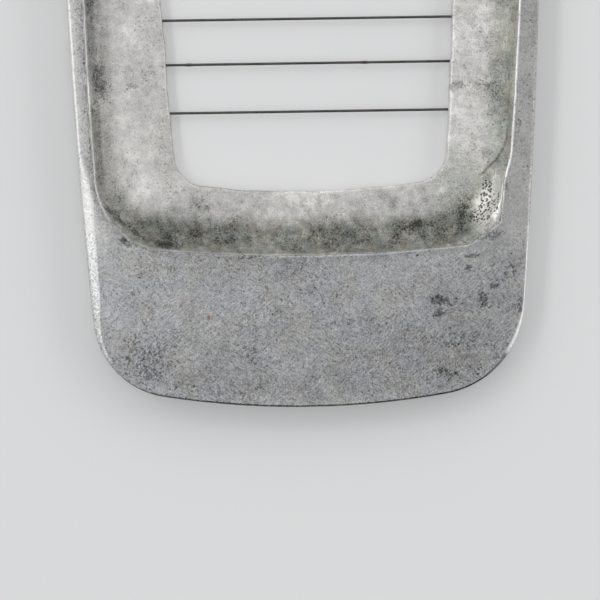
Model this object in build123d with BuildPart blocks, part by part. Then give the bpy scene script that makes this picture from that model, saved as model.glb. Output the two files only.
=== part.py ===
"""Wire butter slicer: a cast aluminium frame that is pressed down over a stick of butter.

Seventeen taut steel wires cross the frame's window. Each wire is hooked round a small
drive pin at either end, in a pocket under the rail, so that the frame still lies flat.

Millimetres. +X runs across the frame, +Y along it, +Z up. The origin is the middle of
the underside. The near end is at -Y, and left and right are as seen from above with
the near end towards the viewer.
"""

from build123d import *
import math
import os

os.makedirs("parts", exist_ok=True)

# --- Driving dimensions -------------------------------------------------------

# Outline of the casting
FRAME_WIDTH = 71.8
FRAME_HEIGHT = 5.0
SIDE_BOW_RADIUS = 904.0
END_BOW_RADIUS = 115.0
LEFT_CORNER_RADIUS = 12.0
RIGHT_CORNER_RADIUS = 10.5
OUTER_EDGE_ROUND = 0.6
FOOT_EDGE_ROUND = 0.3

# The thin flange inside the raised rim, and the cove that joins them
FLANGE_THICKNESS = 2.2
LEFT_RIM_WIDTH = 2.8
RIGHT_RIM_WIDTH = 2.7
LEFT_RIM_BOW_RADIUS = 1103.0
RIGHT_RIM_BOW_RADIUS = 700.0
END_FLANGE_LENGTH = 9.65
TAB_LENGTH = 22.5
TAB_BOW_RADIUS = 228.0
LEFT_RECESS_CORNER_RADIUS = 10.0
RIGHT_RECESS_CORNER_RADIUS = 12.0
COVE_RADIUS = 3.8
COVE_LEAN = 20.0
CREST_ROUND = 0.25

# Scoops that square up the recess in its two right-hand corners
SCOOP_RADIUS = 6.0
SCOOP_MOUTH_RADIUS = 5.0
SCOOP_SHIFT = 5.85

# The window that the butter passes through
WINDOW_LENGTH = 134.4
LEFT_RAIL_WIDTH = 13.8
RIGHT_RAIL_WIDTH = 12.7
LEFT_WINDOW_BOW_RADIUS = 703.0
RIGHT_WINDOW_BOW_RADIUS = 955.0
WINDOW_END_BOW_RADIUS = 130.0
LEFT_WINDOW_CORNER_RADIUS = 3.4
RIGHT_WINDOW_CORNER_RADIUS = 4.8
WINDOW_EDGE_ROUND = 0.5

# Cutting wires, spaced for one pat of butter each
WIRE_PITCH = 6.92
LEAST_END_PAT = 11.0
WIRE_STAGGER = 0.28
WIRE_DIAMETER = 0.36
WIRE_HEIGHT = 1.0
WIRE_WRAP_ANGLE = 280.0

# Drive pins that hold the wires
PIN_DIAMETER = 1.2
PIN_HEAD_DIAMETER = 2.4
PIN_HEAD_THICKNESS = 0.5
PIN_HEAD_ROUND = 0.2
PIN_POINT_LENGTH = 0.4
PIN_GRIP_LENGTH = 1.55
PIN_EDGE_DISTANCE = 2.7

# Fits
PIN_HOLE_CLEARANCE = 0.01
PIN_TIP_CLEARANCE = 0.1
HOOK_CLEARANCE = 0.02
POCKET_CLEARANCE = 0.4
SLOT_SIDE_CLEARANCE = 0.2
SLOT_TOP_CLEARANCE = 0.12
WIRE_TO_HEAD_CLEARANCE = 0.27
WIRE_TO_POCKET_CLEARANCE = 0.45

# --- Sizes that follow from them ----------------------------------------------

half_width = FRAME_WIDTH / 2
window_half_length = WINDOW_LENGTH / 2
recess_half_length = window_half_length + END_FLANGE_LENGTH
half_length = recess_half_length + TAB_LENGTH
recess_depth = FRAME_HEIGHT - FLANGE_THICKNESS
scoop_centre_height = FRAME_HEIGHT + math.sqrt(SCOOP_RADIUS**2 - SCOOP_MOUTH_RADIUS**2)

wire_radius = WIRE_DIAMETER / 2
wire_count = int((WINDOW_LENGTH - 2 * LEAST_END_PAT) / WIRE_PITCH) + 1
pin_radius = PIN_DIAMETER / 2
hook_radius = pin_radius + wire_radius + HOOK_CLEARANCE

pin_hole_radius = pin_radius + PIN_HOLE_CLEARANCE
pocket_radius = PIN_HEAD_DIAMETER / 2 + POCKET_CLEARANCE
pocket_ceiling = WIRE_HEIGHT + wire_radius + WIRE_TO_POCKET_CLEARANCE
pin_hole_top = pocket_ceiling + PIN_GRIP_LENGTH + PIN_TIP_CLEARANCE
pin_tip = pocket_ceiling + PIN_GRIP_LENGTH
pin_head_top = WIRE_HEIGHT - wire_radius - WIRE_TO_HEAD_CLEARANCE
pin_head_bottom = pin_head_top - PIN_HEAD_THICKNESS

slot_width = WIRE_DIAMETER + 2 * SLOT_SIDE_CLEARANCE
slot_top = WIRE_HEIGHT + wire_radius + SLOT_TOP_CLEARANCE


def bow(bow_radius, distance):
    """How far an arc of this radius has fallen away at a distance along from its crown."""
    return bow_radius - math.sqrt(bow_radius**2 - distance**2)


def barrel_outline(left, right, half_span, left_bow, right_bow, end_bow):
    """Draw a rectangle of four bowed sides, in the sketch that is open.

    left and right are the distances from the middle to the crowns of the two long sides,
    and half_span is the distance to the crown of each end.
    """
    with Locations((right - right_bow, 0)):
        Circle(right_bow)
    with Locations((left_bow - left, 0)):
        Circle(left_bow, mode=Mode.INTERSECT)
    for end in (-1, 1):
        with Locations((0, end * (half_span - end_bow))):
            Circle(end_bow, mode=Mode.INTERSECT)


def wire_line(index):
    """Y of a wire. Every second wire sits a little off its even pitch."""
    stagger = WIRE_STAGGER if index % 2 else 0
    return (index - (wire_count - 1) / 2) * WIRE_PITCH + stagger


def pin_distance(y):
    """How far out from the middle the pins lie, in a row that follows the frame's side."""
    return half_width - bow(SIDE_BOW_RADIUS, y) - PIN_EDGE_DISTANCE


wire_lines = [wire_line(index) for index in range(wire_count)]
left_pins = [(-pin_distance(y), y + hook_radius) for y in wire_lines]
right_pins = [(pin_distance(y), y - hook_radius) for y in wire_lines]

# --- Frame: one casting, machined underneath for the wires --------------------

with BuildPart() as frame:
    with BuildSketch() as outline:
        barrel_outline(
            half_width, half_width, half_length, SIDE_BOW_RADIUS, SIDE_BOW_RADIUS, END_BOW_RADIUS
        )
        fillet(outline.vertices().group_by(Axis.X)[0], LEFT_CORNER_RADIUS)
        fillet(outline.vertices().group_by(Axis.X)[-1], RIGHT_CORNER_RADIUS)
    extrude(amount=FRAME_HEIGHT)
    fillet(frame.faces().sort_by(Axis.Z)[-1].edges(), OUTER_EDGE_ROUND)
    fillet(frame.faces().sort_by(Axis.Z)[0].edges(), FOOT_EDGE_ROUND)

    # Recess, with a leaning wall that a cove runs into the flange
    with BuildSketch(Plane.XY.offset(FRAME_HEIGHT)) as crest:
        barrel_outline(
            half_width - LEFT_RIM_WIDTH,
            half_width - RIGHT_RIM_WIDTH,
            recess_half_length,
            LEFT_RIM_BOW_RADIUS,
            RIGHT_RIM_BOW_RADIUS,
            TAB_BOW_RADIUS,
        )
        fillet(crest.vertices().group_by(Axis.X)[0], LEFT_RECESS_CORNER_RADIUS)
        fillet(crest.vertices().group_by(Axis.X)[-1], RIGHT_RECESS_CORNER_RADIUS)
    extrude(amount=-recess_depth, taper=COVE_LEAN, mode=Mode.SUBTRACT)
    flange_face = frame.faces().filter_by(GeomType.PLANE).filter_by_position(
        Axis.Z, FLANGE_THICKNESS, FLANGE_THICKNESS, inclusive=(True, True)
    )[0]
    fillet(flange_face.edges(), COVE_RADIUS)

    # Scoops, each set out from the middle of its corner's arc towards the corner
    corner_arcs = crest.edges().filter_by(GeomType.CIRCLE).sort_by(SortBy.LENGTH)[:4]
    for arc in corner_arcs.sort_by(Axis.X)[-2:]:
        towards_end = math.copysign(SCOOP_SHIFT, arc.arc_center.Y)
        with Locations(arc.arc_center + Vector(SCOOP_SHIFT, towards_end, scoop_centre_height)):
            Sphere(SCOOP_RADIUS, mode=Mode.SUBTRACT)
    rim_face = frame.faces().filter_by(GeomType.PLANE).sort_by(Axis.Z)[-1]
    fillet(rim_face.inner_wires()[0].edges(), CREST_ROUND)

    # Window
    with BuildSketch() as window:
        barrel_outline(
            half_width - LEFT_RAIL_WIDTH,
            half_width - RIGHT_RAIL_WIDTH,
            window_half_length,
            LEFT_WINDOW_BOW_RADIUS,
            RIGHT_WINDOW_BOW_RADIUS,
            WINDOW_END_BOW_RADIUS,
        )
        fillet(window.vertices().group_by(Axis.X)[0], LEFT_WINDOW_CORNER_RADIUS)
        fillet(window.vertices().group_by(Axis.X)[-1], RIGHT_WINDOW_CORNER_RADIUS)
    extrude(amount=FLANGE_THICKNESS, mode=Mode.SUBTRACT)
    flange_face = frame.faces().filter_by(GeomType.PLANE).filter_by_position(
        Axis.Z, FLANGE_THICKNESS, FLANGE_THICKNESS, inclusive=(True, True)
    )[0]
    fillet(flange_face.inner_wires()[0].edges(), WINDOW_EDGE_ROUND)

    # Underneath: a saw cut for each wire, and a pocket with a blind hole for each pin
    for y in wire_lines:
        with Locations((0, y, 0)):
            Box(
                2 * pin_distance(y),
                slot_width,
                slot_top,
                align=(Align.CENTER, Align.CENTER, Align.MIN),
                mode=Mode.SUBTRACT,
            )
    with Locations(*left_pins, *right_pins):
        Cylinder(
            pocket_radius,
            pocket_ceiling,
            align=(Align.CENTER, Align.CENTER, Align.MIN),
            mode=Mode.SUBTRACT,
        )
        Cylinder(
            pin_hole_radius,
            pin_hole_top,
            align=(Align.CENTER, Align.CENTER, Align.MIN),
            mode=Mode.SUBTRACT,
        )

frame.part.label = "frame"
export_step(frame.part, "parts/frame.step")

# --- Wires: each one hooked round a pin at both ends --------------------------

for index, y in enumerate(wire_lines):
    with BuildPart() as wire:
        with BuildLine(Plane.XY.offset(WIRE_HEIGHT)) as run:
            left_hook = CenterArc(left_pins[index], hook_radius, 270 - WIRE_WRAP_ANGLE, WIRE_WRAP_ANGLE)
            straight = Line(left_hook @ 1, (pin_distance(y), y))
            CenterArc(right_pins[index], hook_radius, 90, -WIRE_WRAP_ANGLE)
        with BuildSketch(Plane(origin=left_hook @ 0, z_dir=left_hook % 0)):
            Circle(wire_radius)
        sweep()
    wire.part.label = f"wire_{index + 1:02d}"
    export_step(wire.part, f"parts/{wire.part.label}.step")

# --- Anchor pins: seventeen along each rail -----------------------------------

with BuildPart() as pin:
    with BuildSketch(Plane.XZ):
        with BuildLine():
            Polyline(
                (0, pin_head_bottom),
                (PIN_HEAD_DIAMETER / 2, pin_head_bottom),
                (PIN_HEAD_DIAMETER / 2, pin_head_top),
                (pin_radius, pin_head_top),
                (pin_radius, pin_tip - PIN_POINT_LENGTH),
                (0, pin_tip),
                close=True,
            )
        make_face()
    revolve(axis=Axis.Z)
    fillet(pin.faces().sort_by(Axis.Z)[0].edges(), PIN_HEAD_ROUND)

with BuildPart() as left_anchor_pins:
    with Locations(*left_pins):
        add(pin.part)
left_anchor_pins.part.label = "left_anchor_pins"
export_step(left_anchor_pins.part, "parts/left_anchor_pins.step")

with BuildPart() as right_anchor_pins:
    with Locations(*right_pins):
        add(pin.part)
right_anchor_pins.part.label = "right_anchor_pins"
export_step(right_anchor_pins.part, "parts/right_anchor_pins.step")
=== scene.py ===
"""Looks of the wire butter slicer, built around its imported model.

The casting is one fine mesh: a fan of rays leaves a spine along the frame's middle, and
every ray carries the same run of points over the window's edge, the flange, the cove,
the rim or tab, the outer edge and the underside. Wires and pins come from node trees.

Lengths are millimetres until a mesh is made, and +Y runs away from the near tab.
"""

import math

import bpy
import numpy as np
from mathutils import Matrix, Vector
from mathutils import noise as field_noise


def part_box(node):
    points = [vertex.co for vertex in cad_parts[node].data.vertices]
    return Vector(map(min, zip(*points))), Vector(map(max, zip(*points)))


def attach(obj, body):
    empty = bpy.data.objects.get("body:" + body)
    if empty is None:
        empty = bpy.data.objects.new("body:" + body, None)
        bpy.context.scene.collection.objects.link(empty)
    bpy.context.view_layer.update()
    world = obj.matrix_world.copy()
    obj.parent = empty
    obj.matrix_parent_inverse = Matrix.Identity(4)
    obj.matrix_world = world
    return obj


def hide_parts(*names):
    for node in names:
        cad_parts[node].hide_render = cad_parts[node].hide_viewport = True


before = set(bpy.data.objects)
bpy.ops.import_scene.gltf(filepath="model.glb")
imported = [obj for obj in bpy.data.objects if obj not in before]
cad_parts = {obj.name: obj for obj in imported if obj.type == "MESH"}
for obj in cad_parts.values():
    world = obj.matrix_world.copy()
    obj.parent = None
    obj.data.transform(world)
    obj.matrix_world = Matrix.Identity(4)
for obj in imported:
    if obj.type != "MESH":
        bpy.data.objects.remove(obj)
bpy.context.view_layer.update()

MM = 0.001

# --- Sizes of the casting ---

frame_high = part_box("frame")[1] / MM
HALF_WIDTH = frame_high.x
HALF_LENGTH = frame_high.y
HEIGHT = frame_high.z

FLANGE_TOP = 2.2
COVE_WIDTH = 3.95
CREST_ROUND = 0.28

# Outlines: distances to the crowns of the sides and ends, bow radii and corner radii
OUTER = dict(
    left=HALF_WIDTH - 0.09, right=HALF_WIDTH, span=HALF_LENGTH,
    left_bow=904, right_bow=1000, end_bow=127, left_corner=12.4, right_corner=14.0,
)
# Bow of the sides that the rows of pins follow
PIN_ROW_BOW = 904
CREST = dict(
    left=HALF_WIDTH - 2.8, right=HALF_WIDTH - 2.7, span=HALF_LENGTH - 22.5,
    left_bow=1103, right_bow=700, end_bow=228, left_corner=11.3, right_corner=12.0,
)
COVE_FOOT = dict(
    left=CREST["left"] - 3.7, right=CREST["right"] - 4.3, span=CREST["span"] - 5.2,
    left_bow=1103, right_bow=700, end_bow=228, left_corner=7.6, right_corner=7.0,
)
WINDOW = dict(
    left=HALF_WIDTH - 13.8, right=HALF_WIDTH - 12.7, span=67.2,
    left_bow=703, right_bow=955, end_bow=130, left_corner=4.6, right_corner=4.8,
)

# Scoops that square up the recess in its right-hand corners: the crest there, and the
# long shallow bowl that falls away from it
SCOOP_CREST = dict(CREST, right=CREST["right"] - 0.62, right_corner=2.0)
SCOOP_SLANT = (0.566, 0.824, 75.93)
SCOOP_MIDDLE = (24.6, 68.3)
SCOOP_HALF_WIDTH = 4.7
SCOOP_HALF_LENGTH = 7.2
SCOOP_FLOOR = 2.35
# Where along the frame the recess turns into them, and how far to the right they start
SCOOP_BLEND = (61.5, 66.5)
SCOOP_SIDE = 10

# The fan of rays
SPINE_HALF = 52.0
FAN_RADIUS = 35.0
RAYS = 1500

# The casting's mesh
LIP_RINGS = 5
FLANGE_RINGS = 12
COVE_RINGS = 13
RIM_RINGS = 13
OUTER_SETBACK = 0.03
LEAST_RIM = 0.25
WINDOW_ROUND = 0.45
# Window wall from its foot up, and outer wall down to its foot: steps outwards and heights
WINDOW_WALL = ((0.30, 0.0), (0.08, 0.12), (0.0, 0.4), (0.03, 1.0), (0.0, 1.4))
OUTER_WALL = ((0.03, 2.4), (0.0, 0.9), (-0.02, 0.3), (-0.10, 0.08), (-0.30, 0.0))
# Crest: steps outwards and down as shares of its rounding, and where the rim's face starts
CREST_PROFILE = ((0.25, 0.45), (0.6, 0.13), (1.2, 0.0))
CREST_END = 1.8
# Filed slope: steps out as shares of its width, and how far down each has fallen
FILED_PROFILE = ((0.10, 0.01), (0.32, 0.09), (0.56, 0.22), (0.78, 0.37), (0.92, 0.49), (1.0, 0.80))

# Outer edge: width of its rounding on each side and at the ends, and what the filed slope
# and the right-hand corners add to it
LEFT_EDGE = 0.70
RIGHT_EDGE = 0.32
END_EDGE = 0.30
FILED_WIDENING = 1.35
CORNER_WIDENING = 0.40

# Unevenness of the outlines and of the faces: depth, size of its lumps, seed
WINDOW_WANDER = ((0.16, 7.0, 1), (0.10, 2.2, 2), (0.05, 0.8, 3))
FOOT_WANDER = ((0.35, 9.0, 4), (0.15, 3.0, 5))
CREST_WANDER = ((0.10, 9.0, 6), (0.05, 2.4, 7), (0.02, 0.9, 8))
OUTER_WANDER = ((0.07, 12.0, 9), (0.03, 3.0, 10))
CAST_LUMPS = ((0.10, 6.5, 11), (0.035, 1.9, 12), (0.015, 0.8, 13))
GROUND_DISH = ((0.03, 14.0, 14), (0.010, 2.5, 15))

# Finish of the faces from a ring to the next: slots of the casting's mesh
FOOT, CAST, GROUND = range(3)
# Point attributes of the mesh, which its finishes read
ZONES = ("cast", "cove", "crest", "inner", "ground", "edge", "lip")
SHARP_ANGLE = 50

# Small hollows that the casting or knocks have left: x, y, radius, depth
CAST_HOLLOWS = (
    (-26.7, -74.6, 0.5, 0.35),
    (23.1, -51.9, 0.8, 0.25),
    (-25.6, -51.4, 0.6, 0.15),
    (24.9, 36.0, 0.7, 0.2),
    (-27.4, 12.0, 0.9, 0.15),
    (12.0, 70.5, 0.6, 0.2),
)

# --- Noise on points ---


def wander(x, y, size, seed):
    """Smooth noise of about -1 to 1 whose lumps are this size, at arrays of places."""
    return np.array(
        [field_noise.noise(Vector((a / size, b / size, seed))) for a, b in zip(x.ravel(), y.ravel())]
    ).reshape(x.shape)


def rise(value, start, end):
    """Smooth step from 0 at start to 1 at end."""
    t = np.clip((value - start) / (end - start), 0, 1)
    return t * t * (3 - 2 * t)


# --- Meshes ---


def shape(name, points, faces):
    """A mesh of these points, in millimetres, and faces."""
    mesh = bpy.data.meshes.new(name)
    mesh.from_pydata([[part * MM for part in point] for point in points], [], faces)
    return mesh


def mesh_object(name, mesh):
    made = bpy.data.objects.new(name, mesh)
    bpy.context.scene.collection.objects.link(made)
    return made


# --- Casting ---


def corner_centre(side, bow, end, end_bow, corner):
    """Centre of the arc that joins a side's arc to an end's, from their centres and radii."""
    apart = abs(end - side)
    from_side, from_end = bow - corner, end_bow - corner
    along = (from_side**2 - from_end**2 + apart**2) / (2 * apart)
    return side + (end - side) / apart * complex(along, math.sqrt(from_side**2 - along**2))


def outside(x, y, o):
    """Distance of points outside a bowed outline with round corners; negative inside it."""
    point = np.abs(x) + 1j * np.abs(y)
    end, end_bow = complex(0, o["span"] - o["end_bow"]), o["end_bow"]

    def distance(reach, bow, corner):
        side = complex(reach - bow, 0)
        centre = corner_centre(side, bow, end, end_bow, corner)
        straight = np.maximum(np.abs(point - side) - bow, np.abs(point - end) - end_bow)
        past_side = ((point - side) * (centre - side).conjugate()).imag > 0
        past_end = ((point - end) * (centre - end).conjugate()).imag < 0
        return np.where(past_side & past_end, np.abs(point - centre) - corner, straight)

    left = distance(o["left"], o["left_bow"], o["left_corner"])
    return np.where(x < 0, left, distance(o["right"], o["right_bow"], o["right_corner"]))


def outside_crest(x, y):
    """Distance outside the crest: the recess's outline, which turns into the squared scoops."""
    slant = SCOOP_SLANT[0] * x + SCOOP_SLANT[1] * np.abs(y) - SCOOP_SLANT[2]
    squared = np.maximum(outside(x, y, SCOOP_CREST), slant)
    plain = outside(x, y, CREST)
    return plain + (squared - plain) * rise(np.abs(y), *SCOOP_BLEND) * (x > SCOOP_SIDE)


def fan_of_rays():
    """Starts and directions of the rays, evenly spread along a stadium round the spine."""
    straight = 2 * SPINE_HALF
    turn = math.pi * FAN_RADIUS
    along = (np.arange(RAYS) + 0.5) / RAYS * 2 * (straight + turn)
    half = along >= straight + turn
    along = np.where(half, along - straight - turn, along)
    on_side = along < straight
    angle = np.where(on_side, 0, (along - straight) / FAN_RADIUS)
    start_y = np.where(on_side, along - SPINE_HALF, SPINE_HALF)
    facing = np.where(half, -1, 1)
    return facing * start_y, facing * np.cos(angle), facing * np.sin(angle)


def crossing(start_y, dx, dy, distance_outside):
    """How far along each ray it leaves the inside of an outline."""
    near = np.zeros(RAYS)
    far = np.full(RAYS, 70.0)
    for _ in range(40):
        middle = (near + far) / 2
        out = distance_outside(middle * dx, start_y + middle * dy) > 0
        far = np.where(out, middle, far)
        near = np.where(out, near, middle)
    return near


def edge_width(x, y):
    """Width of the outer edge's rounding: file work has widened it along the left of each tab."""
    reach_along = np.abs(y)
    filed = rise(reach_along, 61, 70) * (1 - rise(reach_along, 83, 93))
    corner = rise(reach_along, 84, 89) * rise(np.abs(x), 26, 30)
    left = LEFT_EDGE + FILED_WIDENING * filed
    right = RIGHT_EDGE + CORNER_WIDENING * corner
    side = np.where(x < 0, left, right)
    return side + (END_EDGE - side) * rise(reach_along, 91, 96)


def from_scoop(x, y):
    """Distance from the middle of the scoop, in its own half widths and half lengths."""
    return np.hypot(
        (x - SCOOP_MIDDLE[0]) / SCOOP_HALF_WIDTH, (np.abs(y) - SCOOP_MIDDLE[1]) / SCOOP_HALF_LENGTH
    )


def cove_height(x, y, before_crest):
    """Height of the cove: a hollow arc that ends steep at the crest, or the scoop where it is lower."""
    drop = HEIGHT - FLANGE_TOP
    arc = (COVE_WIDTH**2 + drop**2) / (2 * drop)
    run = np.clip(COVE_WIDTH - np.minimum(before_crest, -outside(x, y, CREST)), 0, COVE_WIDTH)
    cove = FLANGE_TOP + arc - np.sqrt(arc**2 - run**2)
    scoop = SCOOP_FLOOR + (HEIGHT - SCOOP_FLOOR) * from_scoop(x, y)
    return np.minimum(np.minimum(cove, scoop), HEIGHT - 0.9 * CREST_ROUND)


def scooped(x, y):
    """1 where the scoop has cut into the cove's outline, softly falling to 0 outside it."""
    past_foot = outside(x, y, CREST) + COVE_WIDTH
    return rise(past_foot, 0.2, 1.0) * (1 - rise(from_scoop(x, y), 0.95, 1.25))


def casting_rings():
    """Rings of points round the frame, from the window's foot over the top to the outer foot.

    Each ring is (x, y, z, finish, zones): finish is that of the faces from it to the next
    ring, and zones maps the names of zones to how far the ring is in them. The cove's zone
    runs from -1 at the window over 0 at the cove's foot to 1 at the crest.
    """
    start_y, dx, dy = fan_of_rays()

    def reach(outline, *wobbles):
        within = outline if callable(outline) else lambda x, y: outside(x, y, outline)
        t = crossing(start_y, dx, dy, within)
        x, y = t * dx, start_y + t * dy
        return t + sum(depth * wander(x, y, size, seed) for depth, size, seed in wobbles)

    window = reach(WINDOW, *WINDOW_WANDER)
    foot = reach(COVE_FOOT, *FOOT_WANDER)
    crest = reach(outside_crest, *CREST_WANDER)
    outer = np.minimum(reach(OUTER), reach(OUTER, *OUTER_WANDER)) - OUTER_SETBACK
    rim_start = crest + CREST_END * CREST_ROUND
    bevel = np.minimum(edge_width(outer * dx, start_y + outer * dy), outer - rim_start - LEAST_RIM)
    rim_end = outer - bevel
    rings = []

    def ring(t, z, finish, **zones):
        rings.append((t * dx, start_y + t * dy, np.zeros(RAYS) + z, finish, zones))

    # Window wall, from its foot up, and its rounded top edge
    for out, z in WINDOW_WALL:
        ring(window + out, z, CAST, cove=-1)
    for step in range(LIP_RINGS):
        share = step / (LIP_RINGS - 1)
        angle = share * math.pi / 2
        rounded = WINDOW_ROUND * (1 - math.cos(angle))
        z = FLANGE_TOP - WINDOW_ROUND * (1 - math.sin(angle))
        ring(window + rounded, z, CAST, cove=-1, lip=1 - share)
    # Flange
    flange_start = window + WINDOW_ROUND
    for step in range(1, FLANGE_RINGS):
        share = step / FLANGE_RINGS
        ring(flange_start + (foot - flange_start) * share, FLANGE_TOP, CAST, cast=1, cove=share - 1)
    # Cove, up to the foot of the crest's rounding
    for step in range(COVE_RINGS + 1):
        share = math.sin(step / COVE_RINGS * math.pi / 2) ** 0.9
        finish = GROUND if step == COVE_RINGS else CAST
        t = foot + (crest - foot) * share
        ring(t, cove_height(t * dx, start_y + t * dy, crest - t), finish, cast=1, cove=share)
    for out, down in CREST_PROFILE:
        t, z = crest + out * CREST_ROUND, HEIGHT - down * CREST_ROUND
        ring(t, z, GROUND, ground=1, crest=1, inner=1)
    # Rim and tab
    for step in range(RIM_RINGS + 1):
        share = step / RIM_RINGS
        ring(rim_start + (rim_end - rim_start) * share, HEIGHT, GROUND, ground=1, inner=1 - share)
    # Outer edge: rounded, or a filed slope where it is wide
    slope = rise(bevel, 0.8, 1.4)
    for step, (out, down) in enumerate(FILED_PROFILE, start=1):
        angle = step / len(FILED_PROFILE) * math.pi / 2
        round_out, round_down = math.sin(angle), np.minimum(bevel, 0.6) * (1 - math.cos(angle))
        t = rim_end + bevel * (round_out + (out - round_out) * slope)
        fallen = round_down + (down - round_down) * slope
        ring(t, HEIGHT - fallen, GROUND, ground=1, edge=1)
    # Side and foot
    for out, z in OUTER_WALL:
        ring(outer + out, z, FOOT)
    return rings


def sunk(x, y, z, hollows):
    """z lowered by soft round hollows of (x, y, radius, depth)."""
    for hollow_x, hollow_y, radius, depth in hollows:
        away = np.hypot(x - hollow_x, y - hollow_y) / radius
        z = z - depth * np.exp(-(away**2) * 2)
    return z


def casting_mesh():
    """The casting's closed skin, with its zones stored as point attributes."""
    rings = casting_rings()
    x, y, z = (np.array([ring[axis] for ring in rings]) for axis in range(3))
    zone = {
        name: np.array([np.full(RAYS, float(ring[4].get(name, 0))) for ring in rings])
        for name in ZONES
    }
    zone["scoop"] = zone["cast"] * scooped(x, y)

    # Uneven skin of the cast faces, and a slightly dished ground face
    lumps = sum(depth * wander(x, y, size, seed) for depth, size, seed in CAST_LUMPS)
    steep = np.clip((zone["cove"] - 0.75) / 0.25, 0, 1)
    z = z + lumps * zone["cast"] * (1 - 0.8 * steep)
    dish = sum(depth * (wander(x, y, size, seed) - 1) for depth, size, seed in GROUND_DISH)
    top_only = zone["ground"] * (1 - zone["crest"]) * (z > HEIGHT - 0.01)
    z = z + dish * top_only
    z = np.maximum(sunk(x, y, z, CAST_HOLLOWS), 0)

    count = len(rings)
    points = np.stack([x, y, z], axis=-1).reshape(-1, 3)
    row, column = np.meshgrid(np.arange(count), np.arange(RAYS), indexing="ij")
    next_row, next_column = (row + 1) % count, (column + 1) % RAYS
    corners = (
        row * RAYS + column, next_row * RAYS + column,
        next_row * RAYS + next_column, row * RAYS + next_column,
    )
    faces = np.stack([corner.ravel() for corner in corners], axis=-1)
    mesh = shape("frame_casting", points.tolist(), faces.tolist())
    for material in (ground_foot(), cast_aluminium(), ground_aluminium()):
        mesh.materials.append(material)
    finishes = np.repeat([ring[3] for ring in rings], RAYS)
    mesh.polygons.foreach_set("material_index", finishes.astype(np.int32))
    for name, strength in zone.items():
        layer = mesh.attributes.new(name, "FLOAT", "POINT")
        layer.data.foreach_set("value", strength.ravel().astype(np.float32))
    return mesh


# --- Node trees: sums on sockets, and one method for any other node ---


class Socket:
    """A node's output, which adds its Math nodes when it is used in a sum."""

    def __init__(self, tree, output):
        self.tree = tree
        self.output = output

    def math(self, operation, *inputs, clamp=False):
        settings = {"operation": operation, "use_clamp": clamp}
        return node(self.tree, "ShaderNodeMath", settings, dict(enumerate(inputs)))

    def __add__(self, other):
        return self.math("ADD", self, other)

    def __sub__(self, other):
        return self.math("SUBTRACT", self, other)

    def __rsub__(self, other):
        return self.math("SUBTRACT", other, self)

    def __mul__(self, other):
        return self.math("MULTIPLY", self, other)

    def __truediv__(self, other):
        return self.math("DIVIDE", self, other)

    def __pow__(self, other):
        return self.math("POWER", self, other)

    __radd__ = __add__
    __rmul__ = __mul__

    def least(self, other):
        return self.math("MINIMUM", self, other)

    def most(self, other):
        return self.math("MAXIMUM", self, other)

    def clamped(self):
        return self.math("ADD", self, 0, clamp=True)

    def step(self, start, end):
        """Smooth step from 0 at start to 1 at end; start may be the larger."""
        settings = {"interpolation_type": "SMOOTHSTEP"}
        return node(self.tree, "ShaderNodeMapRange", settings, {0: self, 1: start, 2: end, 3: 0, 4: 1})

    def named(self, name):
        """Another output of the same node."""
        return Socket(self.tree, self.output.node.outputs[name])


def node(tree, kind, settings=None, inputs=None, output=0):
    """Add a node: its settings are set first, then the values or links of its sockets."""
    made = tree.nodes.new(kind)
    for name, value in (settings or {}).items():
        setattr(made, name, value)
    for key, value in (inputs or {}).items():
        if isinstance(value, Socket):
            tree.links.new(value.output, made.inputs[key])
        else:
            made.inputs[key].default_value = value
    return Socket(tree, made.outputs[output])


# --- Wires and pins, by node trees ---

WIRE_NODES = sorted(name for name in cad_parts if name.startswith("wire_"))
PIN_NODES = ("left_anchor_pins", "right_anchor_pins")

wire_boxes = [tuple(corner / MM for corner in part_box(name)) for name in WIRE_NODES]
wire_lines = [(low.y + high.y) / 2 for low, high in wire_boxes]
WIRE_RADIUS = (wire_boxes[0][1].z - wire_boxes[0][0].z) / 2
WIRE_HEIGHT = (wire_boxes[0][1].z + wire_boxes[0][0].z) / 2
HOOK_RADIUS = (wire_boxes[0][1].y - wire_boxes[0][0].y - 2 * WIRE_RADIUS) / 4
WIRE_PITCH = (wire_lines[-1] - wire_lines[0]) / (len(wire_lines) - 1)
WIRE_STAGGER = wire_lines[1] - wire_lines[0] - WIRE_PITCH
PIN_EDGE_DISTANCE = HALF_WIDTH - max(high.x for low, high in wire_boxes) + HOOK_RADIUS + WIRE_RADIUS

pin_low, pin_high = (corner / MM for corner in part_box(PIN_NODES[0]))
PIN_RADIUS = 0.6
PIN_HEAD_RADIUS = 1.2
PIN_HEAD_FLAT = 0.75
PIN_HEAD_DOME = 0.3
PIN_HEAD_THICKNESS = 0.5
PIN_CHAMFER = 0.06
PIN_POINT = 0.4
PIN_SIDES = 28
PIN_TILT = 0.02
POCKET_RADIUS = 1.6
POCKET_TOP = 1.63
POCKET_SIDES = 32
PIN_HOLE_RADIUS = 0.61
PIN_HOLE_TOP = 3.28
SLOT_HALF_WIDTH = 0.38
SLOT_TOP = 1.3
# How far the cutters reach below the foot, and the steps aside of a cut that is tried again
BELOW = 0.5
HAIR = 0.0013 * MM
CUT_TRIES = 8
LEAST_KEPT = 0.9


def new_tree(name, sizes):
    """An empty geometry tree with a geometry output and these named numbers as inputs."""
    tree = bpy.data.node_groups.new(name, "GeometryNodeTree")
    face = tree.interface
    face.new_socket("Geometry", in_out="OUTPUT", socket_type="NodeSocketGeometry")
    for label, value in sizes.items():
        kind = "NodeSocketInt" if isinstance(value, int) else "NodeSocketFloat"
        face.new_socket(label, in_out="INPUT", socket_type=kind).default_value = value
    given = tree.nodes.new("NodeGroupInput")
    return tree, {label: Socket(tree, given.outputs[label]) for label in sizes}


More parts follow.
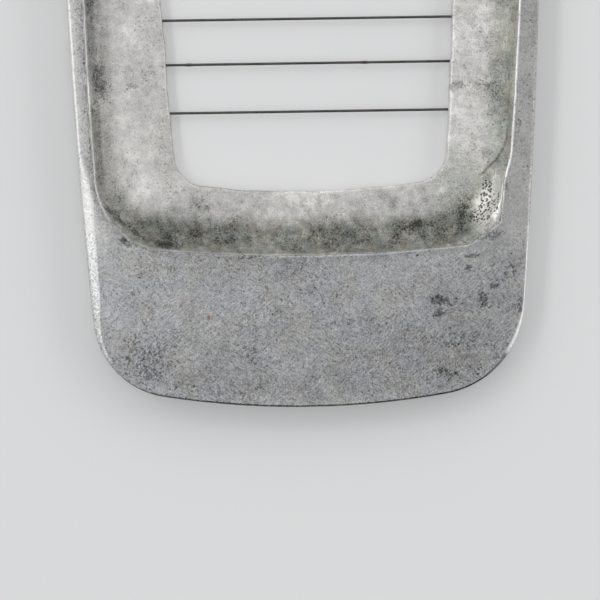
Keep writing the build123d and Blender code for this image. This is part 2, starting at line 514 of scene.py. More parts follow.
def close_tree(tree, geometry, material):
    """Realize what is instanced, give it its material and send it out."""
    real = node(tree, "GeometryNodeRealizeInstances", inputs={"Geometry": geometry})
    smooth = node(tree, "GeometryNodeSetShadeSmooth", inputs={"Geometry": real})
    done = node(tree, "GeometryNodeSetMaterial", inputs={"Geometry": smooth, "Material": material})
    tree.links.new(done.output, tree.nodes.new("NodeGroupOutput").inputs[0])


def grown(name, tree):
    """A plain mesh object made by a tree, with the modifier gone."""
    source = bpy.data.objects.new(name + "_source", bpy.data.meshes.new(name + "_source"))
    bpy.context.scene.collection.objects.link(source)
    modifier = source.modifiers.new("grow", "NODES")
    modifier.node_group = tree
    depsgraph = bpy.context.evaluated_depsgraph_get()
    mesh = bpy.data.meshes.new_from_object(source.evaluated_get(depsgraph))
    bpy.data.objects.remove(source)
    return mesh_object(name, mesh)


def pin_reach(y, size):
    """How far out the pins lie at y, in a row that follows the frame's bowed side."""
    bow = size["side bow"]
    fallen = bow - (bow * bow - y * y) ** 0.5
    return size["half width"] - fallen - size["edge distance"]


def wire_line(index, size):
    """Y of a wire by its number, every second one a little off its pitch."""
    odd = index.math("MODULO", index, 2)
    return (index - (size["count"] - 1) / 2) * size["pitch"] + odd * size["stagger"]


LAYOUT = {
    "count": len(wire_lines),
    "pitch": WIRE_PITCH * MM,
    "stagger": WIRE_STAGGER * MM,
    "half width": HALF_WIDTH * MM,
    "side bow": PIN_ROW_BOW * MM,
    "edge distance": PIN_EDGE_DISTANCE * MM,
    "hook radius": HOOK_RADIUS * MM,
}


def cutting_wires(material):
    """All the wires: straight across the window, then wound round a pin at each end."""
    tree, size = new_tree(
        "stretched wires",
        LAYOUT | {
            "wire radius": WIRE_RADIUS * MM,
            "wire height": WIRE_HEIGHT * MM,
            "turns": 1.45,
            "climb": 0.385 * MM,
            "points": 181,
            "sides": 10,
        },
    )
    line = node(tree, "GeometryNodeCurvePrimitiveLine", inputs={"Start": (-1, 0, 0), "End": (1, 0, 0)})
    line = node(tree, "GeometryNodeResampleCurve", inputs={"Curve": line, "Count": size["points"]})
    many = node(
        tree, "GeometryNodeDuplicateElements", {"domain": "SPLINE"},
        {"Geometry": line, "Amount": size["count"]},
    )
    index = many.named("Duplicate Index")
    along = node(tree, "GeometryNodeSplineParameter") * 2 - 1
    side = along.math("SIGN", along)
    share = along.math("ABSOLUTE", along) * 2
    turned = (share - 1).most(0) * size["turns"] * (2 * math.pi)
    y = wire_line(index, size)
    ridge = share.least(1) * pin_reach(y, size) + turned.math("SINE", turned) * size["hook radius"]
    sideways = (1 - turned.math("COSINE", turned)) * size["hook radius"]
    height = size["wire height"] + turned / (2 * math.pi) * size["climb"]
    place = node(
        tree, "ShaderNodeCombineXYZ", inputs={"X": side * ridge, "Y": y - side * sideways, "Z": height}
    )
    strung = node(tree, "GeometryNodeSetPosition", inputs={"Geometry": many, "Position": place})
    spot = node(tree, "ShaderNodeCombineXYZ", inputs={"X": along * 40, "Y": index * 7.3, "Z": 0.0})
    rough = node(tree, "ShaderNodeTexNoise", inputs={"Vector": spot, "Scale": 1.0, "Detail": 3.0})
    burr = rough.step(0.66, 0.74)
    thick = size["wire radius"] * (1.0 + rough * 0.14 + burr * 0.30)
    round_section = node(
        tree, "GeometryNodeCurvePrimitiveCircle", inputs={"Resolution": size["sides"], "Radius": 1.0}
    )
    rod = node(
        tree, "GeometryNodeCurveToMesh",
        inputs={"Curve": strung, "Profile Curve": round_section, "Scale": thick, "Fill Caps": True},
    )
    close_tree(tree, rod, material)
    return grown("cutting_wires", tree)


def lathe(name, profile, sides):
    """A closed turned shape from (radius, height) pairs, whose first and last radii are 0."""
    points, faces = [], []
    for radius, height in profile[1:-1]:
        for side in range(sides):
            angle = 2 * math.pi * side / sides
            points.append((radius * math.cos(angle), radius * math.sin(angle), height))
    rows = len(profile) - 2
    points += [(0, 0, profile[0][1]), (0, 0, profile[-1][1])]
    start, end = rows * sides, rows * sides + 1
    for side in range(sides):
        after = (side + 1) % sides
        faces.append((start, after, side))
        last = (rows - 1) * sides
        faces.append((end, last + side, last + after))
        for row in range(rows - 1):
            base, above = row * sides, (row + 1) * sides
            faces.append((base + side, base + after, above + after, above + side))
    return mesh_object(name, shape(name, points, faces))


def rows_at_pins(name, turned, side, material, tilt):
    """Copies of a turned shape at every pin of one rail (side is -1 or 1), or of both (0)."""
    tree, size = new_tree(name, LAYOUT | {"seed": 5})
    given = node(tree, "GeometryNodeObjectInfo", inputs={"Object": turned}).named("Geometry")
    rails = []
    for rail in (side,) if side else (-1, 1):
        spots = node(
            tree, "GeometryNodeMeshLine", inputs={"Count": size["count"], "Offset": (0, 0, 0)}
        )
        y = wire_line(node(tree, "GeometryNodeInputIndex"), size)
        place = node(
            tree, "ShaderNodeCombineXYZ",
            inputs={"X": pin_reach(y, size) * rail, "Y": y - size["hook radius"] * rail, "Z": 0.0},
        )
        moved = {"Geometry": spots, "Position": place}
        rails.append(node(tree, "GeometryNodeSetPosition", inputs=moved))
    joined = tree.nodes.new("GeometryNodeJoinGeometry")
    for rail in rails:
        tree.links.new(rail.output, joined.inputs[0])
    turn = node(
        tree, "FunctionNodeRandomValue", {"data_type": "FLOAT_VECTOR"},
        {"Min": (-tilt, -tilt, 0), "Max": (tilt, tilt, math.tau), "Seed": size["seed"]},
    )
    placed = node(
        tree, "GeometryNodeInstanceOnPoints",
        inputs={"Points": Socket(tree, joined.outputs[0]), "Instance": given, "Rotation": turn},
    )
    close_tree(tree, placed, material)
    made = grown(name, tree)
    bpy.data.objects.remove(turned)
    return made


def pin_shape():
    """One drive pin, head down, with a domed and slightly flattened head."""
    head_low, tip = pin_low.z, pin_high.z
    head_top = head_low + PIN_HEAD_THICKNESS
    profile = [(0, head_low)]
    for step in range(1, 7):
        angle = step / 6 * math.pi / 2
        radius = PIN_HEAD_FLAT + (PIN_HEAD_RADIUS - PIN_HEAD_FLAT) * math.sin(angle)
        profile.append((radius, head_low + PIN_HEAD_DOME * (1 - math.cos(angle))))
    profile += [
        (PIN_HEAD_RADIUS, head_top - PIN_CHAMFER),
        (PIN_HEAD_RADIUS - PIN_CHAMFER, head_top),
        (PIN_RADIUS + PIN_CHAMFER, head_top),
        (PIN_RADIUS, head_top + PIN_CHAMFER),
        (PIN_RADIUS, tip - PIN_POINT),
        (PIN_RADIUS * 0.3, tip - 0.05),
        (0, tip),
    ]
    return lathe("pin_shape", profile, PIN_SIDES)


def pocket_cutter_shape():
    """What the drill and counterbore take out for one pin."""
    profile = (
        (0, -BELOW), (POCKET_RADIUS, -BELOW), (POCKET_RADIUS, POCKET_TOP),
        (PIN_HOLE_RADIUS, POCKET_TOP), (PIN_HOLE_RADIUS, PIN_HOLE_TOP), (0, PIN_HOLE_TOP),
    )
    return lathe("pocket_cutter_shape", profile, POCKET_SIDES)


# Faces of a bar whose first four corners are one end and whose last four are the other
BOX_FACES = ((0, 3, 2, 1), (4, 5, 6, 7), (0, 1, 5, 4), (1, 2, 6, 5), (2, 3, 7, 6), (3, 0, 4, 7))


def slot_cutters():
    """Bars that saw the wires' slots, one across each wire's line."""
    points, faces = [], []
    for (_, high), y in zip(wire_boxes, wire_lines):
        reach = high.x - HOOK_RADIUS - WIRE_RADIUS
        first = len(points)
        for x in (-reach, reach):
            for across, z in ((-1, -BELOW), (1, -BELOW), (1, SLOT_TOP), (-1, SLOT_TOP)):
                points.append((x, y + across * SLOT_HALF_WIDTH, z))
        faces += [tuple(first + corner for corner in face) for face in BOX_FACES]
    return mesh_object("slot_cutters", shape("slot_cutters", points, faces))


def cut_from(name, mesh, cutters):
    """The mesh with every cutter taken out of it, as a plain object.

    Where faces all but coincide a cut can lose most of the mesh, so it is tried again with
    its cutter a hair aside.
    """
    for cutter in cutters:
        for attempt in range(CUT_TRIES):
            cutter.location = (attempt * HAIR, -attempt * HAIR, 0)
            solid = mesh_object(name + "_uncut", mesh)
            modifier = solid.modifiers.new("cut", "BOOLEAN")
            modifier.operation = "DIFFERENCE"
            modifier.solver = "EXACT"
            modifier.object = cutter
            depsgraph = bpy.context.evaluated_depsgraph_get()
            done = bpy.data.meshes.new_from_object(solid.evaluated_get(depsgraph))
            bpy.data.objects.remove(solid)
            if len(done.polygons) > LEAST_KEPT * len(mesh.polygons):
                break
        mesh = done
        bpy.data.objects.remove(cutter)
    return mesh_object(name, mesh)


# --- Finishes ---


def paint(red, green, blue):
    """A colour that is written as 8-bit values, as a shader takes it."""
    linear = [((part / 255 + 0.055) / 1.055) ** 2.4 for part in (red, green, blue)]
    return (*linear, 1.0)


class Finish:
    """A material being made: its tree, and places on the piece in millimetres."""

    def __init__(self, name, metallic):
        self.material = bpy.data.materials.new(name)
        self.material.use_nodes = True
        self.tree = self.material.node_tree
        self.shader = self.tree.nodes["Principled BSDF"]
        self.shader.inputs["Metallic"].default_value = metallic
        on_piece = self.node("ShaderNodeTexCoord", output="Object")
        self.place = self.node(
            "ShaderNodeVectorMath", {"operation": "SCALE"}, {0: on_piece, "Scale": 1 / MM}
        )
        axes = self.node("ShaderNodeSeparateXYZ", inputs={0: self.place})
        self.x, self.y, self.z = (axes.named(axis) for axis in "XYZ")

    def node(self, kind, settings=None, inputs=None, output=0):
        return node(self.tree, kind, settings, inputs, output)

    def zone(self, name):
        return self.node("ShaderNodeAttribute", {"attribute_name": name}, output="Fac")

    def noise(self, size, seed, detail=3.0, roughness=0.55, at=None):
        """Noise whose lumps have this size."""
        inputs = {"Vector": at or self.place, "W": seed, "Scale": 1 / size}
        inputs |= {"Detail": detail, "Roughness": roughness}
        return self.node("ShaderNodeTexNoise", {"noise_dimensions": "4D"}, inputs)

    def laid(self, x, y, angle, length, width):
        """Places seen from a spot, turned by an angle and measured in lengths and widths."""
        return self.node(
            "ShaderNodeMapping", {"vector_type": "TEXTURE"},
            {
                "Vector": self.place, "Location": (x, y, 0),
                "Rotation": (0, 0, math.radians(angle)), "Scale": (length, width, 1000),
            },
        )

    def streaks(self, angle, length, width, seed):
        """Noise drawn out along an angle, for strokes and scratches."""
        drawn_out = self.laid(0, 0, angle, length, width)
        return self.noise(1.0, seed, detail=2.0, roughness=0.5, at=drawn_out)

    def grit(self, size, seed):
        """A random value for each small crystal or speck of this size."""
        moved = self.vector("ADD", self.place, (seed, 2 * seed, 3 * seed))
        cells = self.node("ShaderNodeTexVoronoi", inputs={"Vector": moved, "Scale": 1 / size})
        return self.chance(cells)

    def chance(self, cells):
        """A random value for each cell, from 0 to 1."""
        colour = cells.named("Color")
        return self.node("ShaderNodeSeparateColor", inputs={"Color": colour}, output="Red")

    def pinholes(self, spacing, radius, share, seed):
        """Tiny uneven pits strewn about, in this share of the cells of this spacing."""
        bent = self.noise(spacing, seed, detail=2.0).named("Color")
        moved = self.vector("MULTIPLY_ADD", bent, (spacing, spacing, spacing), self.place)
        away = self.node("ShaderNodeTexVoronoi", inputs={"Vector": moved, "Scale": 1 / spacing})
        chosen = self.chance(away).step(share + 0.02, share - 0.02)
        return (away * spacing).step(radius * 1.5, radius * 0.7) * chosen

    def vector(self, operation, *inputs, output="Vector"):
        settings = {"operation": operation}
        return self.node("ShaderNodeVectorMath", settings, dict(enumerate(inputs)), output)

    def away_from_line(self, places):
        """Distance from a line through these places, seen from above."""
        flat = self.vector("MULTIPLY", self.place, (1, 1, 0))
        nearest = None
        for (x, y), (next_x, next_y) in zip(places, places[1:]):
            run = Vector((next_x - x, next_y - y, 0))
            from_start = self.vector("SUBTRACT", flat, (x, y, 0))
            passed = self.vector("DOT_PRODUCT", from_start, run, output="Value")
            share = (passed / run.length_squared).clamped()
            foot = self.node("ShaderNodeVectorMath", {"operation": "SCALE"}, {0: run, "Scale": share})
            away = self.vector("DISTANCE", from_start, foot, output="Value")
            nearest = nearest.least(away) if nearest else away
        return nearest

    def spots(self, places, ragged, softness=0.45):
        """Mask of ragged spots, each (x, y, length, width, angle, strength)."""
        mask = None
        for x, y, length, width, angle, strength in places:
            away = self.vector("LENGTH", self.laid(x, y, angle, length, width), output="Value")
            one = (away + ragged).step(1.0 + softness, 1.0 - softness) * strength
            mask = mask.most(one) if mask else one
        return mask

    def mix(self, share, below, above):
        settings = {"data_type": "RGBA"}
        return self.node("ShaderNodeMix", settings, {0: share, 6: below, 7: above}, output=2)

    def bump(self, height):
        """A normal from a height in millimetres."""
        return self.node("ShaderNodeBump", inputs={"Strength": 1.0, "Distance": MM, "Height": height})

    def feed(self, **sockets):
        """Link or set the shader's sockets and hand over the material."""
        for label, value in sockets.items():
            socket = self.shader.inputs[label.replace("_", " ")]
            if isinstance(value, Socket):
                self.tree.links.new(value.output, socket)
            else:
                socket.default_value = value
        return self.material


# Stains on the tab and rims: x, y, length, width, angle in degrees, strength
DARK_MARKS = (
    (-26.6, -74.65, 1.15, 0.38, -33, 1.0), (24.5, -77.3, 1.25, 0.32, 3, 1.0),
    (24.1, -79.1, 0.55, 0.45, 20, 0.8), (27.9, -81.8, 0.65, 0.40, 20, 0.9),
    (26.1, -83.8, 0.60, 1.0, 10, 0.9), (19.5, -83.8, 1.35, 0.75, -10, 1.0),
    (20.9, -84.1, 0.9, 0.45, -50, 0.8), (19.6, -85.7, 1.2, 0.55, 15, 0.75),
    (27.6, -74.3, 1.9, 0.6, 10, 0.8), (30.5, -78.9, 0.45, 0.3, -20, 0.8),
    (30.7, -80.3, 0.8, 0.8, 0, 0.4), (31.6, -84.4, 0.35, 1.6, 0, 0.6),
    (20.4, -94.4, 1.4, 0.5, -10, 0.7), (22.5, -89.7, 4.4, 1.6, -3, 0.45),
    (-23.4, -91.7, 4.6, 3.4, -15, 0.50), (-22.8, -92.6, 2.4, 2.2, -30, 0.35),
    (-26.4, -91.7, 0.45, 0.6, 0, 0.9), (-7.8, -76.95, 3.2, 0.35, 2, 0.55),
    (31.8, -57.8, 0.6, 0.5, 0, 0.6), (29.75, -67.0, 0.3, 0.9, -10, 0.8),
)
# The largest single pits there
DARK_DOTS = (
    (-24.6, -79.85, 0.24, 0.13, -20, 1.0),
    (-22.5, -88.5, 0.13, 0.13, 0, 1.0),
    (16.5, -77.2, 0.30, 0.18, 20, 0.9),
)
RUST_SPOT = ((-14.5, -85.9, 0.26, 0.34, 10, 1.0),)
# Curved scratch by the middle of the near end
CRESCENT = ((2.1, -94.9), (1.6, -96.0), (0.6, -96.9), (-0.3, -97.2))


def ground_aluminium():
    """Top of the rim and tabs: ground by hand in all directions, then knocked and stained."""
    made = Finish("ground_aluminium", metallic=0.9)
    edge = made.zone("edge")
    crest = made.zone("crest")
    along = made.y.math("ABSOLUTE", made.y)
    on_tab = along.step(72.0, 80.0)
    filed = edge * (along.step(56.0, 66.0) * along.step(99.0, 88.0)) * made.x.step(-22.0, -26.0)
    crystals = made.grit(0.21, 1.0)
    grain = made.noise(0.17, 1.0, detail=1.0)
    flecks = made.noise(0.42, 2.0, roughness=0.7)
    patches = made.noise(3.4, 3.0, detail=4.0, roughness=0.6)
    clouds = made.noise(13.0, 4.0, detail=2.0)

    # Strokes of the grinding stone, in families that give way to each other
    family = made.noise(6.0, 5.0, detail=1.0).step(0.42, 0.58)
    stroke_one = made.streaks(38, 1.5, 0.12, 6.0)
    stroke_two = made.streaks(-33, 1.3, 0.12, 7.0)
    stroke_three = made.streaks(84, 1.8, 0.11, 8.0)
    strokes = stroke_one * family + stroke_two * (1 - family)
    scratch_light = made.streaks(72, 5.0, 0.12, 9.0).step(0.66, 0.71)
    scratch_dark = made.streaks(-12, 3.0, 0.12, 10.0).step(0.66, 0.71)
    file_marks = made.streaks(-33, 3.0, 0.17, 16.0).step(0.36, 0.62) - 0.5

    # Level of the bare metal: lighter towards the left, which is painted light from the left-hand
    # lamps, and the rims kept brighter by hands
    off_tab = 1 - on_tab
    texture = 1.0 - off_tab * made.x.step(5.0, 25.0) * 0.42
    level = 0.445 - made.x * 0.0017 + made.x * made.x * 0.00004 + off_tab * (0.145 - made.x * 0.0026)
    level = level - made.zone("inner") * off_tab * made.x.step(5.0, -20.0) * 0.26
    level = level - along.step(84.0, 99.0) * 0.05
    fine = (crystals - 0.5) * 0.17 + (grain - 0.5) * 0.70 + (flecks - 0.5) * 0.54
    fine = fine + (strokes - 0.5) * 0.84 + (stroke_three - 0.5) * 0.36
    level = level + fine * texture + (patches - 0.5) * 0.36 + (clouds - 0.5) * 0.20
    level = level + scratch_light * 0.16 - scratch_dark * 0.14

    # Dirt in pits, which crowd together in stains
    stain = made.noise(2.6, 11.0, detail=4.0, roughness=0.65)
    heavy = made.noise(9.0, 12.0, detail=1.0)
    ragged = (made.noise(0.7, 13.0, roughness=0.7) - 0.5) * 1.6
    marks = made.spots(DARK_MARKS, ragged, softness=0.6)
    crowding = (stain - 0.5) * 0.44 + (heavy - 0.5) * 0.22 + marks * 0.33
    pits = (made.noise(0.30, 17.0, detail=2.0) + crowding).step(0.56, 0.76)
    dots = made.spots(DARK_DOTS, ragged * 0.2).most(made.pinholes(1.7, 0.10, 0.45, 18.0))
    nail_mark = made.away_from_line(CRESCENT).step(0.20, 0.05)
    dark = (pits * 0.75).most(dots)
    level = level - dark * 0.34 + nail_mark * 0.12

    # Painted highlights on the crest's right-hand side, on the outer edge by the right-hand corners
    # and along the left-hand outer edge with its filed slope, a painted line of shade beside the
    # crest's left-hand side, and painted shade on the outer edge along the ends
    nicked = made.noise(0.9, 14.0)
    lit_right_side = made.x.step(10.0, 26.0) * along.step(71.5, 66.0)
    crest_highlight = crest * (lit_right_side * 0.42 + 0.02) * nicked.step(0.25, 0.5)
    groove_shade = crest * made.x.step(-8.0, -20.0) * nicked.step(0.35, 0.65)
    edge_highlight = edge * made.x.step(20.0, 26.0) * (along.step(70.0, 79.0) * along.step(92.5, 91.0))
    # Painted highlights on the crest and outer edges, and a painted line of shade by the left-hand
    # crest
    level = level + crest_highlight - groove_shade * 0.20 + edge_highlight * 0.60 + edge * made.x.step(-20.0, -26.0) * 0.22
    filing = file_marks * 0.14 + (crystals - 0.5) * 0.40 - (patches - 0.5) * 0.36 + 0.07
    level = level + filed * filing
    # Painted shade on the outer edge along the ends
    level = level - (edge * along.step(90.0, 96.0)) * 0.32
    level = level.clamped()

    cool = made.mix(level, paint(52, 54, 55), paint(230, 231, 233))
    warm = made.mix(level, paint(54, 54, 51), paint(231, 230, 228))
    tinted = made.mix(made.noise(5.0, 15.0).step(0.42, 0.62).most(off_tab), cool, warm)
    rust = made.spots(RUST_SPOT, ragged * 0.3)
    colour = made.mix(rust * 0.65, tinted, paint(125, 84, 52))

    roughness = 0.46 + (patches - 0.5) * 0.20 + dark * 0.22 + (grain - 0.5) * 0.12 - crest * 0.12
    height = strokes * 0.014 + stroke_three * 0.008 + flecks * 0.016 + file_marks * filed * 0.03
    height = height + scratch_light * 0.006 - scratch_dark * 0.010
    height = height - dark * 0.03 - dots * 0.05 + nail_mark * 0.02
    return made.feed(Base_Color=colour, Roughness=roughness.clamped(), Normal=made.bump(height))


# Dirt and pits on the cast face: x, y, length, width, angle in degrees, strength
CAST_MARKS = (
    (23.1, -51.9, 1.0, 0.5, 5, 0.9), (21.9, -52.2, 0.6, 0.35, -50, 0.7),
    (-25.6, -51.4, 1.1, 0.5, 8, 0.55), (-30.1, -48.4, 0.6, 1.1, 0, 0.6),
    (-30.2, -50.9, 0.8, 1.5, 0, 0.55), (-28.0, -70.8, 2.2, 0.32, -46, 0.75),
    (-25.0, -73.3, 1.9, 0.32, -36, 0.75), (-20.6, -75.1, 1.3, 0.40, -14, 0.75),
    (16.0, -72.6, 2.6, 0.9, 6, 0.5), (23.9, -69.0, 0.9, 2.6, 0, 0.3),
    (23.4, 34.0, 1.0, 0.6, 25, 0.8),
)
# Casting flaw in the near right scoop: clusters of open pores, and the face round them, washed clean
# and painted lighter as a highlight
FLAW = (
    (27.0, -67.7, 0.85, 1.7, -5, 1.0),
    (26.8, -70.0, 0.9, 1.2, 0, 1.0),
    (25.8, -71.5, 1.4, 0.9, 10, 1.0),
    (28.2, -69.3, 0.6, 1.7, -8, 0.62),
)
WASHED_AND_HIGHLIT = (
    (28.5, -68.9, 1.0, 3.9, -6, 1.0),
    (26.6, -70.1, 1.9, 3.0, -14, 0.7),
)
# Old dirt that was left beside it and by the window
SMEARED = (
    (23.4, -67.0, 3.6, 4.6, 10, 1.0),
    (-20.4, -60.7, 1.9, 5.0, 4, 0.8),
)
# Bleached patch of the flange above it
BLEACHED = ((23.4, -59.4, 1.9, 3.0, 0, 1.0),)
# Crease that runs round the scoop's upper side, from the rim to the flange, painted as a dark line of
# shade
CREASE = (
    (30.1, -58.6), (30.0, -60.0), (29.6, -61.4), (29.0, -62.3),
    (28.4, -63.2), (27.3, -64.2), (26.4, -65.2),
)


def cast_aluminium():
    """Flange, cove and window edge: dull cast skin, bleached in patches, dirty in the hollows, with
    painted shade in the side coves and along the crease and painted highlights on the scoop and window
    edge.
    """
    made = Finish("cast_aluminium_skin", metallic=0.8)
    cove = made.zone("cove")
    lip = made.zone("lip")
    scoop = made.zone("scoop")
    along = made.y.math("ABSOLUTE", made.y)
    at_end = along.step(64.5, 72.5)
    crystals = made.grit(0.22, 20.0)
    grain = made.noise(0.20, 21.0, detail=2.0, roughness=0.65)
    mottle = made.noise(1.3, 22.0, detail=5.0, roughness=0.65)
    patches = made.noise(5.5, 23.0)
    clouds = made.noise(16.0, 24.0, detail=2.0)
    crowd = made.noise(3.2, 26.0)

    skin = (crystals - 0.5) * 0.07 + (grain - 0.5) * 0.56
    skin = skin + (mottle - 0.5) * 0.56 + (patches - 0.5) * 0.34
    level = 0.745 + made.x * 0.0016 + skin * (1.42 + made.x * 0.010)
    level = level + (clouds - 0.5) * 0.22 - at_end * 0.165
    pale = (patches + mottle * 0.5).step(0.78, 0.95).most(made.spots(BLEACHED, (mottle - 0.5) * 2.0))
    level = level + pale * 0.09

    # Old grease and oxide: thick over the whole cove at the ends; at the sides, painted shade with some
    # grime darkens the cove under the crest, more on the left
    spill = made.noise(2.4, 27.0, detail=4.0, roughness=0.62)
    fine_dirt = made.noise(0.42, 28.0, roughness=0.7)
    ragged = (made.noise(0.6, 29.0, roughness=0.7) - 0.5) * 1.6
    # The washed face round the flaw: clean metal, also painted lighter as a highlight
    washed_and_highlit = made.spots(WASHED_AND_HIGHLIT, ragged * 0.5, softness=0.6)
    on_left = made.x.step(8.0, -8.0)
    # A pale line below the left crest: kept clean, and painted lighter below as a highlight on the edge
    pale_line = cove.step(0.93, 0.97) * on_left
    lined = (cove + (spill - 0.5) * 0.12).step(0.56, 0.70) * cove.step(0.93, 0.86)
    shade = cove.step(-0.12, 0.50) * (0.56 + on_left * 0.12)
    side_shade_and_grime = (shade + lined * (0.04 + on_left * 0.34)) * (1.0 - pale_line)
    thinned = 0.77 - on_left * 0.11 - cove.step(0.60, 1.0) * 0.42
    at_tab = (cove + (spill - 0.5) * 0.30).step(-0.32, 0.40) * thinned
    # Painted shade with some grime at the sides, grease and oxide at the ends
    dirt_and_shade = side_shade_and_grime + (at_tab - side_shade_and_grime) * at_end * (0.92 - scoop * 0.35)
    spilt = (spill * 0.8 + crowd * 0.5 + at_end * 0.12).step(0.68, 0.95) * 0.30
    spilt = spilt.most(made.spots(SMEARED, ragged * 0.5, softness=0.7) * 0.32)
    dirt_and_shade = (dirt_and_shade + spilt + (fine_dirt - 0.5) * 0.30 * (dirt_and_shade + spilt)) * (1.0 - washed_and_highlit)
    dirt_and_shade = dirt_and_shade.clamped()

    # Pits and specks, which crowd together where the dirt sits, and painted shade along the crease
    marks = made.spots(CAST_MARKS, ragged, softness=0.6)
    crowding = (crowd - 0.5) * 0.45 + marks * 0.36 + dirt_and_shade * 0.055
    pits = (made.noise(0.26, 25.0, detail=2.0) + crowding).step(0.62, 0.74)
    flaw = made.spots(FLAW, ragged, softness=0.6).step(0.15, 0.5)
    pores = made.pinholes(0.36, 0.15, 0.80, 31.0) * flaw
    crease_shade = (made.away_from_line(CREASE) + ragged * 0.24).step(0.26, 0.06)
    dots = made.pinholes(1.5, 0.10, 0.4, 32.0)
    dark = (pits * 0.55).most(crease_shade * 0.62).most(dots * 0.7)
    # Painted highlight on the pale line below the left crest and on the washed face; on the window's
    # lip a painted highlight on the right and painted shade on the left
    level = level + pale_line * 0.12 + washed_and_highlit * 0.34 + lip * (0.20 - on_left * 0.34)
    level = level - dirt_and_shade * 0.40 - dark * 0.42
    level = level.clamped() * (1.0 - pores * 0.92)
    dark = dark.most(pores)

    clean = made.mix(level, paint(61, 60, 58), paint(238, 236, 232))
    dirty = made.mix(level, paint(52, 51, 43), paint(214, 212, 200))
    greenish = made.mix(level, paint(48, 52, 45), paint(206, 211, 203))
    dirty = made.mix(made.noise(3.0, 30.0).step(0.4, 0.65), dirty, greenish)
    olive = at_end.most(1.0 - on_left) * 0.75 + 0.25
    colour = made.mix((dirt_and_shade * 1.5).clamped() * olive, clean, dirty)

    roughness = 0.52 + (mottle - 0.5) * 0.16 + dirt_and_shade * 0.20 + dark * 0.15 - washed_and_highlit * 0.12
    metallic = 0.85 - dirt_and_shade * 0.50 - dark * 0.3
    height = grain * 0.030 + mottle * 0.075 - pits * 0.03 - dark * 0.08 + patches * 0.05
    return made.feed(
        Base_Color=colour, Roughness=roughness.clamped(), Metallic=metallic, Normal=made.bump(height)
    )


def ground_foot():
    """Underside and outer wall: cast skin rubbed on a flat stone, with long fine scratches."""
    made = Finish("rubbed_foot", metallic=0.9)
    grain = made.noise(0.3, 41.0)
    mottle = made.noise(2.2, 42.0, detail=4.0)
    clouds = made.noise(11.0, 43.0)
    long_scratch = made.streaks(86, 14.0, 0.20, 44.0)
    short_scratch = made.streaks(55, 3.0, 0.16, 45.0)
    hollow = made.noise(1.1, 46.0).step(0.60, 0.70)
    level = 0.56 + (grain - 0.5) * 0.2 + (mottle - 0.5) * 0.35 + (clouds - 0.5) * 0.3
    level = level + (long_scratch - 0.5) * 0.4 + (short_scratch - 0.5) * 0.3 - hollow * 0.16
    colour = made.mix(level.clamped(), paint(66, 66, 64), paint(222, 222, 222))
    roughness = 0.46 + (mottle - 0.5) * 0.2 + hollow * 0.15
    height = long_scratch * 0.014 + short_scratch * 0.010 + grain * 0.01 - hollow * 0.03
    return made.feed(Base_Color=colour, Roughness=roughness.clamped(), Normal=made.bump(height))


def wire_steel():
    """Thin drawn steel, gone brown-grey, with dried film on it in places."""
    made = Finish("tarnished_wire_steel", metallic=0.85)
    along = made.streaks(0, 4.0, 0.3, 51.0)
    film = made.streaks(0, 1.1, 0.25, 52.0).step(0.52, 0.68)
    level = (0.5 + (along - 0.5) * 1.1 - film * 0.15).clamped()
    bare = made.mix(level, paint(44, 43, 42), paint(112, 110, 106))
    colour = made.mix(film * 0.5, bare, paint(74, 66, 48))
    roughness = 0.36 + film * 0.25
    height = along * 0.008 + film * 0.006
    return made.feed(Base_Color=colour, Roughness=roughness, Normal=made.bump(height))


def pin_steel():
    """Drive pins: turned steel heads, hammered flat and dull."""
    made = Finish("dull_pin_steel", metallic=0.95)
    mottle = made.noise(0.5, 61.0, detail=4.0)
    stain = made.noise(1.7, 62.0).step(0.48, 0.66)
    strokes = made.streaks(30, 0.9, 0.08, 63.0)
    level = (0.45 + (mottle - 0.5) * 0.5 + (strokes - 0.5) * 0.4 - stain * 0.15).clamped()
    bare = made.mix(level, paint(58, 58, 57), paint(196, 195, 192))
    colour = made.mix(stain * 0.45, bare, paint(96, 82, 66))
    roughness = 0.40 + stain * 0.2 + (mottle - 0.5) * 0.1
    height = mottle * 0.02 + strokes * 0.008
    return made.feed(Base_Color=colour, Roughness=roughness, Normal=made.bump(height))


# --- The pieces ---

casting = cut_from(
    "frame_casting", casting_mesh(),
    (
        slot_cutters(),
        rows_at_pins("pocket_cutters", pocket_cutter_shape(), 0, None, 0.0),
    ),
)
casting.data.shade_smooth()
casting.data.set_sharp_from_angle(angle=math.radians(SHARP_ANGLE))
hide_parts("frame")
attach(casting, "root")

wires = cutting_wires(wire_steel())
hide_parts(*WIRE_NODES)
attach(wires, "root")

for pin_node, side in zip(PIN_NODES, (-1, 1)):
    pins = rows_at_pins(pin_node + "_turned", pin_shape(), side, pin_steel(), PIN_TILT)
    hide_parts(pin_node)
    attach(pins, "root")


# --- Floor, lights and camera ---

FLOOR_HALF = 3000.0
FLOOR_GLOW = 0.12
WORLD_TINT = (0.93, 0.96, 1.0, 1.0)
WORLD_STRENGTH = 0.25
VIEW_MIDDLE = (-0.95, -83.47)
VIEW_DISTANCE = 500.0
VIEW_WIDTH = 88.8
VIEW_TURN = -0.015
SENSOR_WIDTH = 36
# Distance of the lamps from the near tab, in metres
LAMP_DISTANCE = 1.5
# Softboxes: heading from there in degrees (0 is +X, 90 is +Y), elevations of the lower and
# upper edge, width in metres and radiance
SOFTBOXES = {
    "left_softbox": (180, 48, 60, 2.0, 3.2),
    "left_low_softbox": (180, 12, 50, 1.8, 0.55),
    "far_softbox": (90, 8, 64, 4.0, 0.95),
    "right_softbox": (0, 6, 42, 2.4, 1.6),
    "overhead_softbox": (90, 70, 110, 1.1, 0.6),
}


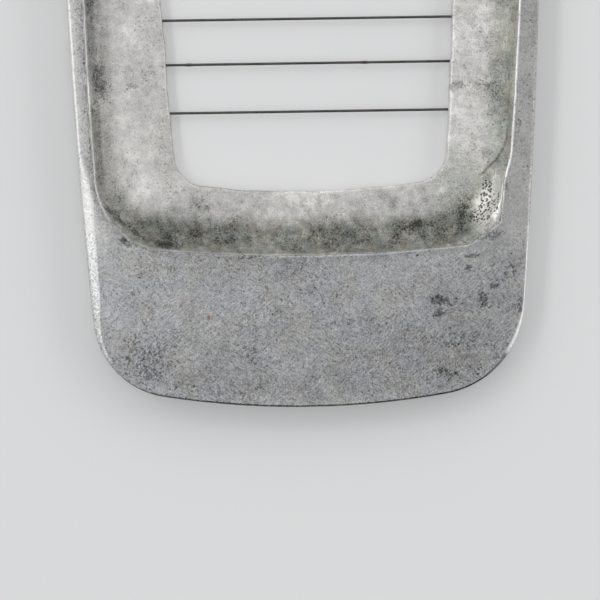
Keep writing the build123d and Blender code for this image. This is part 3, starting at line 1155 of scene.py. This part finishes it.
def floor():
    """A plain pale table top."""
    turns = ((-1, -1), (1, -1), (1, 1), (-1, 1))
    mesh = shape("floor", [(x * FLOOR_HALF, y * FLOOR_HALF, 0) for x, y in turns], [range(4)])
    made = Finish("pale_table", metallic=0.0)
    soft = made.noise(90.0, 71.0, detail=2.0)
    colour = made.mix(soft, paint(203, 203, 203), paint(207, 207, 207))
    seen = made.node("ShaderNodeLightPath", output="Is Camera Ray")
    seen = seen.most(seen.named("Is Glossy Ray")).most(seen.named("Is Transmission Ray"))
    made.feed(Base_Color=colour, Roughness=0.7, Specular_IOR_Level=0.2)
    made.feed(Emission_Color=paint(255, 255, 255), Emission_Strength=seen * FLOOR_GLOW)
    mesh.materials.append(made.material)
    mesh_object("floor", mesh)


def lamp(name, heading, lower, upper, width, radiance):
    """A rectangular softbox round the near tab, which fills these elevations and faces it."""
    middle, half = math.radians((lower + upper) / 2), math.radians((upper - lower) / 2)
    light = bpy.data.lights.new(name, "AREA")
    light.shape = "RECTANGLE"
    light.size = width
    light.size_y = 2 * LAMP_DISTANCE * math.tan(half)
    light.energy = radiance * math.pi * light.size * light.size_y
    made = bpy.data.objects.new(name, light)
    turn = math.radians(heading)
    flat = math.cos(middle)
    out = Vector((math.cos(turn) * flat, math.sin(turn) * flat, math.sin(middle)))
    made.location = near + out * LAMP_DISTANCE
    made.rotation_euler = out.to_track_quat("Z", "Y").to_euler()
    bpy.context.scene.collection.objects.link(made)


floor()
near = Vector((VIEW_MIDDLE[0] * MM, VIEW_MIDDLE[1] * MM, 0.0))
for box_name, measures in SOFTBOXES.items():
    lamp(box_name, *measures)

world = bpy.data.worlds.new("studio")
world.use_nodes = True
world.node_tree.nodes["Background"].inputs["Color"].default_value = WORLD_TINT
world.node_tree.nodes["Background"].inputs["Strength"].default_value = WORLD_STRENGTH
bpy.context.scene.world = world

camera_data = bpy.data.cameras.new("camera")
camera_data.sensor_width = SENSOR_WIDTH
camera_data.lens = SENSOR_WIDTH * VIEW_DISTANCE / VIEW_WIDTH
camera = bpy.data.objects.new("camera", camera_data)
camera.location = (near[0], near[1], (HEIGHT + VIEW_DISTANCE) * MM)
camera.rotation_euler = (0, 0, VIEW_TURN)
bpy.context.scene.collection.objects.link(camera)
bpy.context.scene.camera = camera
bpy.context.scene.view_settings.view_transform = "Standard"
